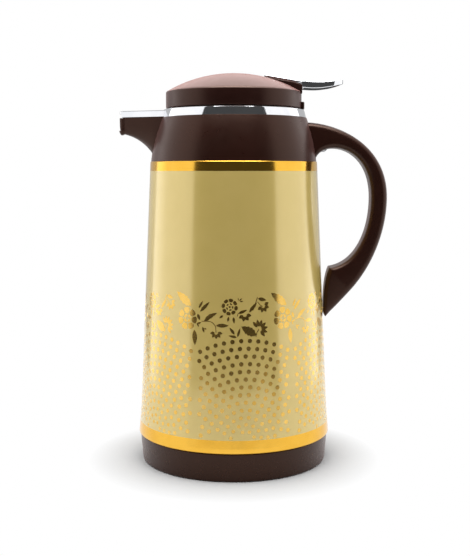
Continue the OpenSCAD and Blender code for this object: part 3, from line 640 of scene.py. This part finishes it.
def lever_loop(inset, height):
    return [(x, y, height(x, y)) for x, y in lever_outline(inset)]


def plate_faces():
    """Faces across a lever loop, from the tip of the nose to the front edge."""
    n, tip, sides = len(lever_outline(0)), NOSE_STEPS // 2, NOSE_STEPS + 1
    rungs = ([(tip - i, tip + i) for i in range(tip + 1)]
             + [(n - 1 - i, sides + i) for i in range((n - sides) // 2)])
    faces = [[a, b, d, c] for (a, b), (c, d) in zip(rungs, rungs[1:])]
    return [face[1:] if face[0] == face[1] else face for face in faces]


def lever_piece():
    """Thumb plate with a rounded top edge and walls that hang down behind the lid."""
    loops = []
    # The rounding is flatter behind the lid, where the walls are tall
    for inset, drop in ((4.5, 0), (1.8, 0), (1.0, 0.03), (0.55, 0.14), (0.22, 0.36),
                        (0.05, 0.64), (0, 0.85), (0, 1.1)):
        loops.append(lever_loop(inset, lambda x, y: lever_top(min(x, LEVER_NOSE - 0.4))
                                - drop * (1.0 if x < BEHIND_LID else 0.4)))
    loops.append(lever_loop(0, lambda x, y: wall_low(x, y) + 0.5))
    loops += [lever_loop(inset, wall_low) for inset in (0.25, 1.3)]
    loops += [lever_loop(inset, under_plate) for inset in (1.6, 4.5)]
    plate = loft("lever_plate", loops, [chrome], plate_faces())
    outward(plate)
    return plate


def dome_clear(x, y, z):
    """Keeps a height above the dome near the lever's front edge."""
    if x > 26:
        return z
    return max(z, DOME_C + math.sqrt((DOME_R + 0.4) ** 2 - x * x - y * y))


def under_plate(x, y):
    return dome_clear(x, y, lever_top(min(x, LEVER_NOSE - 1)) - 1.9)


def wall_low(x, y):
    """Lower edge of the lever's walls: thin over the housing, deep behind the lid."""
    if x < BEHIND_LID:
        return under_plate(x, y)
    return lever_low(min(x, LEVER_NOSE - 1))


def lever_hub():
    """Block under the plate that turns on the pin, between the cheeks of the housing."""
    x, z = PIVOT
    side = ([(28, lever_top(28) - 1), (28, z + 2.6), (x - 3, z - 2)]
            + arc((x, z), 3.6, 215, 325, 10)
            + [(x + 3, z - 2), (50.5, lever_low(50.5) + 0.9), (50.5, lever_top(50.5) - 1)])
    return prism("lever_hub", side, -8.1, 8.1, along_y, [chrome], 0.3, 2)


finish_piece(soften(lever_piece(), 40), "thumb_lever", "chrome_trim", "lever")
finish_piece(soften(lever_hub(), 40), "thumb_lever", "chrome_trim")


# --- Spring ---

SPRING_LOW, SPRING_HIGH = 222.2, 252.2


def spring_piece():
    """Coil whose first and last turns lie nearly flat."""
    low, high, wire, coil, turns = SPRING_LOW + 0.65, SPRING_HIGH - 0.65, 0.6, 7.0, 7
    end = 2.1 * wire
    loops = []
    for i in range(36 * turns + 1):
        s = i / 36
        a = 2 * math.pi * s
        if s < 1:
            z = low + end * s
        elif s > turns - 1:
            z = high - end * (turns - s)
        else:
            z = low + end + (high - low - 2 * end) * (s - 1) / (turns - 2)
        loop = []
        for k in range(12):
            b = 2 * math.pi * k / 12
            r = coil + wire * math.cos(b)
            loop.append((r * math.cos(a), r * math.sin(a), z + wire * math.sin(b)))
        loops.append(loop)
    obj = loft("spring_coil", loops, [steel])
    outward(obj)
    return obj


spring = finish_piece(spring_piece(), "lid", "steel", "valve_spring")
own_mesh(spring)


# --- Gold print ---

FOIL_T = 0.05
PRINT_R = 66.0
REPEATS = 6
REPEAT_ANGLE = 60.0


class Print:
    """Collects flat shapes in (u, z) millimetres and wraps them round the shell as thin foil."""

    def __init__(self):
        self.verts, self.faces = [], []

    def add(self, outline, at=0.0):
        """Adds a closed outline whose u runs along the surface from the angle at (degrees)."""
        flat = cut_flat(outline)
        n, base = len(flat.verts), len(self.verts)
        for lift in (FOIL_T, -FOIL_T):
            for v in flat.verts:
                a = math.radians(at) + v.co.x / PRINT_R
                r = shell_radius(v.co.y) + lift
                self.verts.append((r * math.sin(a), -r * math.cos(a), v.co.y))
        for face in flat.faces:
            ids = [base + v.index for v in face.verts]
            self.faces += [ids, [n + i for i in reversed(ids)]]
        for edge in flat.edges:
            if edge.is_boundary:
                i, j = (base + v.index for v in edge.verts)
                self.faces.append([i, j, n + j, n + i])
        flat.free()

    def dot(self, u, z, r, at=0.0):
        self.add([(u + r * math.cos(a), z + r * math.sin(a))
                  for a in (2 * math.pi * i / 14 for i in range(14))], at)


def cut_flat(outline, widest=3.5, strip=2.0):
    """A flat bmesh of an outline; wide shapes are cut into strips so that they can bend."""
    flat = bmesh.new()
    flat.faces.new([flat.verts.new((u, z, 0)) for u, z in outline])
    low, high = min(u for u, _ in outline), max(u for u, _ in outline)
    if high - low > widest:
        bmesh.ops.triangulate(flat, faces=flat.faces[:])
        for k in range(1, int((high - low) / strip) + 1):
            geometry = flat.verts[:] + flat.edges[:] + flat.faces[:]
            bmesh.ops.bisect_plane(flat, geom=geometry, dist=1e-4,
                                   plane_co=(low + k * strip, 0, 0), plane_no=(1, 0, 0))
    flat.verts.index_update()
    return flat


def dot_fans(print_):
    """Dots on concentric arcs, fanned about six centres; they shrink and close up row by row."""
    fan_top, fan_half, offset = 96.0, 32.6, 7.0
    for fan in range(REPEATS):
        radius, row = 66.0, 0
        centre = fan_top - radius
        while radius > 2:
            small = max(0, row - 7)
            spacing = max(4.4, 5.9 - 0.25 * small)
            count = int(radius * 1.6 / spacing)
            for i in range(-count, count + 1):
                a = (i + (0.5, 0.35, 0.0)[row % 3]) * spacing / radius
                u, z = radius * math.sin(a), centre + radius * math.cos(a)
                if abs(a) < 1.6 and abs(u) < fan_half and z > GOLD_LOW + 1.3:
                    print_.dot(u, z, 1.5 - 0.06 * small, offset + REPEAT_ANGLE * fan)
            radius -= 5.15 if row < 9 else max(4.2, 5.15 - 0.2 * (row - 8))
            row += 1


def leaf(x0, z0, x1, z1, width, teeth=0, bend=0.0):
    """Outline of a pointed leaf from one end to the other."""
    d = Vector((x1 - x0, z1 - z0))
    length = d.length
    d.normalize()
    side = Vector((-d.y, d.x))
    n = 10 if not teeth else 4 * teeth
    up, down = [], []
    for i in range(1, n):
        t = i / n
        w = width / 2 * math.sin(math.pi * t ** 0.85) ** 0.9
        if teeth:
            w *= 1.0 - 0.28 * ((t * teeth) % 1.0)
        c = Vector((x0, z0)) + d * (length * t) + side * (bend * math.sin(math.pi * t))
        up.append(tuple(c + side * w))
        down.append(tuple(c - side * w))
    return [(x0, z0)] + up + [(x1, z1)] + down[::-1]


def stem(points, width):
    """Thin ribbon along a bent line."""
    left, right = [], []
    for i, p in enumerate(points):
        a = Vector(points[max(i - 1, 0)])
        b = Vector(points[min(i + 1, len(points) - 1)])
        d = (b - a).normalized()
        side = Vector((-d.y, d.x)) * width / 2
        left.append(tuple(Vector(p) + side))
        right.append(tuple(Vector(p) - side))
    return left + right[::-1]


def bean(cx, cz, r0, r1, a0, a1, n=14):
    """A petal between two radii and two angles, as a plump oval bent round the centre."""
    mid, half, turn = (r0 + r1) / 2, (r1 - r0) / 2, (a1 - a0) / 2
    points = []
    for i in range(n):
        t = 2 * math.pi * i / n
        r = mid + half * math.copysign(abs(math.sin(t)) ** 0.75, math.sin(t))
        across = math.copysign(abs(math.cos(t)) ** 0.75, math.cos(t))
        a = math.radians((a0 + a1) / 2 + turn * across)
        points.append((cx + r * math.cos(a), cz + r * math.sin(a)))
    return points


def rose(print_, cx, cz, r, at, petals, turn):
    """Open flower: outer petals, five inner ones and a dot."""
    for i in range(petals):
        a = turn + 360 * i / petals
        print_.add(bean(cx, cz, 0.58 * r, r, a + 3, a + 360 / petals - 3), at)
    for i in range(5):
        a = turn + 20 + 72 * i
        print_.add(bean(cx, cz, 0.28 * r, 0.46 * r, a + 10, a + 58), at)
    print_.dot(cx, cz, 0.13 * r, at)


def bud(print_, cx, cz, r, at, aim, petals, spread):
    """Half-open flower: a fan of petals about the direction aim."""
    for i in range(petals):
        a = aim - spread / 2 + spread * (i + 0.5) / petals
        x, z = r * math.cos(math.radians(a)), r * math.sin(math.radians(a))
        tip, root = (cx + x, cz + z), (cx + 0.25 * x, cz + 0.25 * z)
        print_.add(leaf(*root, *tip, 0.66 * r * math.radians(spread / petals)), at)


def floral_unit(print_, at):
    """One sixth of the floral band: an open rose, sprigs, and a large solid rose."""
    rose(print_, -2.7, 118.6, 5.6, at, 8, 12)
    for x, z, length, width, a in ((-3.4, 112.3, 3.6, 1.5, -100), (-0.2, 111.9, 4.4, 1.7, -82),
                                   (-7.2, 112.9, 3.2, 1.6, 215)):
        tip = (x + length * math.cos(math.radians(a)), z + length * math.sin(math.radians(a)))
        print_.add(leaf(x, z, *tip, width), at)
    print_.add(leaf(3.4, 122.9, 3.0, 124.6, 0.7), at)
    print_.add(leaf(3.9, 122.6, 5.8, 124.4, 0.9), at)
    print_.add(leaf(4.2, 122.1, 6.6, 122.4, 0.8), at)
    # Twig to the right of the rose
    print_.add(stem([(2.5, 112.4), (3.0, 114.2), (5.0, 115.4)], 0.45), at)
    print_.add(leaf(3.4, 114.3, 9.2, 116.6, 2.0), at)
    bud(print_, 7.6, 113.4, 4.6, at, -80, 4, 190)
    # Upper twig
    print_.add(stem([(13.4, 117.0), (15.2, 121.0), (16.6, 124.8)], 0.6), at)
    print_.add(leaf(10.6, 114.9, 16.2, 121.4, 2.6, 3), at)
    print_.add(leaf(17.0, 124.0, 23.0, 122.6, 2.5), at)
    print_.add(stem([(16.6, 121.8), (18.6, 119.4), (20.2, 118.6)], 0.45), at)
    bud(print_, 20.6, 119.0, 4.6, at, -60, 5, 220)
    # Toothed leaf and half-open flower
    print_.add(leaf(15.4, 99.6, 5.2, 105.6, 6.2, 5), at)
    print_.add(stem([(15.2, 98.6), (16.0, 101.6), (17.4, 103.6)], 0.5), at)
    bud(print_, 17.4, 103.6, 6.6, at, 40, 7, 210)
    # Low sprig
    print_.add(leaf(0.6, 100.4, -2.8, 105.0, 1.9), at)
    print_.add(leaf(2.2, 98.4, -3.6, 99.6, 1.7), at)
    print_.add(leaf(2.6, 98.6, 4.4, 104.6, 1.7), at)
    # Left branch
    branch = [(-22.5, 108.6), (-18.0, 108.9), (-14.6, 108.2), (-12.3, 105.6), (-12.0, 101.4)]
    print_.add(stem(branch, 0.5), at)
    print_.add(leaf(-20.6, 108.4, -11.2, 114.6, 3.2, 4, 0.7), at)
    print_.add(leaf(-12.0, 106.2, -3.2, 106.2, 2.6), at)
    bud(print_, -11.9, 101.4, 4.3, at, -90, 5, 210)
    print_.add(leaf(-21.6, 104.8, -20.4, 101.2, 1.6), at)
    print_.add(leaf(-20.4, 104.0, -18.6, 103.4, 1.0), at)
    print_.add(leaf(-23.6, 115.0, -16.6, 121.8, 2.6, 4), at)
    print_.add(leaf(-24.6, 117.2, -21.6, 122.4, 1.6), at)
    # Large rose
    cx, cz = -33.3, 110.0
    for i in range(7):
        a = 18 + 360 * i / 7
        print_.add(bean(cx, cz, 3.4, 7.6, a + 3, a + 48), at)
    for i in range(4):
        print_.add(bean(cx, cz, 1.2, 2.9, 90 * i + 6, 90 * i + 80), at)
    print_.add(leaf(-30.2, 118.6, -42.6, 127.4, 6.2, 5), at)
    print_.add(leaf(-27.6, 102.6, -27.0, 92.4, 3.6), at)
    print_.add(leaf(-25.4, 113.4, -23.6, 109.4, 2.2), at)
    print_.add(leaf(-26.0, 106.6, -22.6, 108.0, 1.4), at)
    print_.add(leaf(-24.4, 104.8, -25.6, 107.0, 1.0), at)


def print_piece():
    print_ = Print()
    dot_fans(print_)
    for k in range(REPEATS):
        floral_unit(print_, REPEAT_ANGLE * k)
    obj = make_object("gold_print", print_.verts, print_.faces, [foil])
    outward(obj)
    return obj


finish_piece(soften(print_piece(), 30), "jug", "lacquered_shell")


# --- Floor, light and camera ---

def floor_with_painted_shadow():
    """Grey floor that the camera and mirrors see fade to plain white away from the jug, so the
    grey round the base is painted shadow added to the real one.
    """
    m = Material("floor_white", Roughness=0.6, Specular_IOR_Level=0.2)
    # This grey is seen only near the jug, where it is painted shadow round the base
    m.use("Base Color", m.colours(m.noise(30, 2), (0.3, (0.41, 0.41, 0.41, 1)),
                                  (0.7, (0.43, 0.43, 0.43, 1))))
    m.bump(m.noise(400, 2), 0.002)
    white = m.nodes.new("ShaderNodeEmission")
    length = m.nodes.new("ShaderNodeVectorMath")
    length.operation = "LENGTH"
    m.links.new(m.place, length.inputs[0])
    # Grey floor up to 69 mm from the jug's axis and white from 106 mm: the reach of the painted
    # shadow
    fade = m.spread(length.outputs["Value"], 0.0, 1.0, 0.069, 0.106)
    path = m.nodes.new("ShaderNodeLightPath")
    seen = m.nodes.new("ShaderNodeMath")
    seen.operation = "MAXIMUM"
    m.links.new(path.outputs["Is Camera Ray"], seen.inputs[0])
    m.links.new(path.outputs["Is Glossy Ray"], seen.inputs[1])
    white_part = m.nodes.new("ShaderNodeMath")
    white_part.operation = "MULTIPLY"
    m.links.new(seen.outputs["Value"], white_part.inputs[0])
    m.links.new(fade, white_part.inputs[1])
    mix = m.nodes.new("ShaderNodeMixShader")
    m.links.new(white_part.outputs["Value"], mix.inputs["Fac"])
    m.links.new(m.shader.outputs["BSDF"], mix.inputs[1])
    m.links.new(white.outputs["Emission"], mix.inputs[2])
    m.links.new(mix.outputs["Shader"], m.nodes["Material Output"].inputs["Surface"])
    return m.material


def floor_piece():
    """Table top that stays between the side boxes, whose light would add to it in mirrors."""
    outline = [(-345, -480), (345, -480), (345, 900), (-345, 900)]
    floor = prism("floor", outline, -20, -0.05, along_z, [floor_with_painted_shadow()])


floor_piece()


def area_light(name, place, aim, size, radiance):
    """Softbox that the camera doesn't see, as bright as a surface of the given radiance."""
    data = bpy.data.lights.new(name, "AREA")
    data.shape = "RECTANGLE"
    data.size, data.size_y = size
    data.energy = radiance * math.pi * size[0] * size[1]
    obj = bpy.data.objects.new(name, data)
    obj.location = place
    obj.rotation_euler = (Vector(aim) - Vector(place)).to_track_quat("-Z", "Y").to_euler()
    obj.visible_camera = False
    bpy.context.scene.collection.objects.link(obj)
    return obj


# Side boxes run from their near edges, before the jug, back past it
BOX_X, BOX_L, BOX_H = 0.35, 0.50, 0.72
for side, name, near in ((-1, "left_box", -0.285), (1, "right_box", -0.262)):
    middle, height = near + BOX_L / 2, BOX_H / 2
    area_light(name, (side * BOX_X, middle, height), (0, middle, height), (BOX_L, BOX_H), 1.05)
area_light("back_top_box", (0.0, 0.50, 0.80), (0, 0, 0.26), (0.9, 0.7), 1.5)
area_light("top_box", (0.0, -0.26, 1.05), (0, -0.1, 0.10), (0.9, 0.72), 7.0)


def studio_world():
    """Dark before the jug, light above and behind it, and plain white to the camera."""
    world = bpy.data.worlds.new("world")
    world.use_nodes = True
    nodes, links = world.node_tree.nodes, world.node_tree.links
    place = nodes.new("ShaderNodeTexCoord").outputs["Generated"]
    split = nodes.new("ShaderNodeSeparateXYZ")
    links.new(place, split.inputs["Vector"])

    def rise(output, start, end, value):
        node = nodes.new("ShaderNodeMapRange")
        node.interpolation_type = "SMOOTHSTEP"
        for key, number in (("From Min", start), ("From Max", end), ("To Min", 0.0),
                            ("To Max", value)):
            node.inputs[key].default_value = number
        links.new(split.outputs[output], node.inputs["Value"])
        return node.outputs["Result"]

    def joined(operation, a, b):
        node = nodes.new("ShaderNodeMath")
        node.operation = operation
        for socket, value in zip(node.inputs, (a, b)):
            if isinstance(value, float):
                socket.default_value = value
            else:
                links.new(value, socket)
        return node.outputs["Value"]

    light = joined("MAXIMUM", rise("Z", 0.72, 0.84, 0.50), rise("Y", 0.15, 0.5, 0.48))
    studio = nodes["Background"]
    links.new(joined("ADD", light, 0.06), studio.inputs["Color"])
    white = nodes.new("ShaderNodeBackground")
    white.inputs["Color"].default_value = (1, 1, 1, 1)
    path = nodes.new("ShaderNodeLightPath")
    mix = nodes.new("ShaderNodeMixShader")
    links.new(path.outputs["Is Camera Ray"], mix.inputs["Fac"])
    links.new(studio.outputs["Background"], mix.inputs[1])
    links.new(white.outputs["Background"], mix.inputs[2])
    links.new(mix.outputs["Shader"], nodes["World Output"].inputs["Surface"])
    return world


bpy.context.scene.world = studio_world()


def view_camera():
    """Camera fitted to the photograph's ellipses and outlines."""
    data = bpy.data.cameras.new("camera")
    data.sensor_width = 36
    data.lens = 62.7
    camera = bpy.data.objects.new("camera", data)
    camera.location = (0.0009, -0.697, 0.2076)
    camera.rotation_euler = (math.radians(90 - 6.282), 0, 0)
    bpy.context.scene.collection.objects.link(camera)
    return camera


bpy.context.scene.camera = view_camera()
bpy.context.scene.view_settings.view_transform = "Standard"
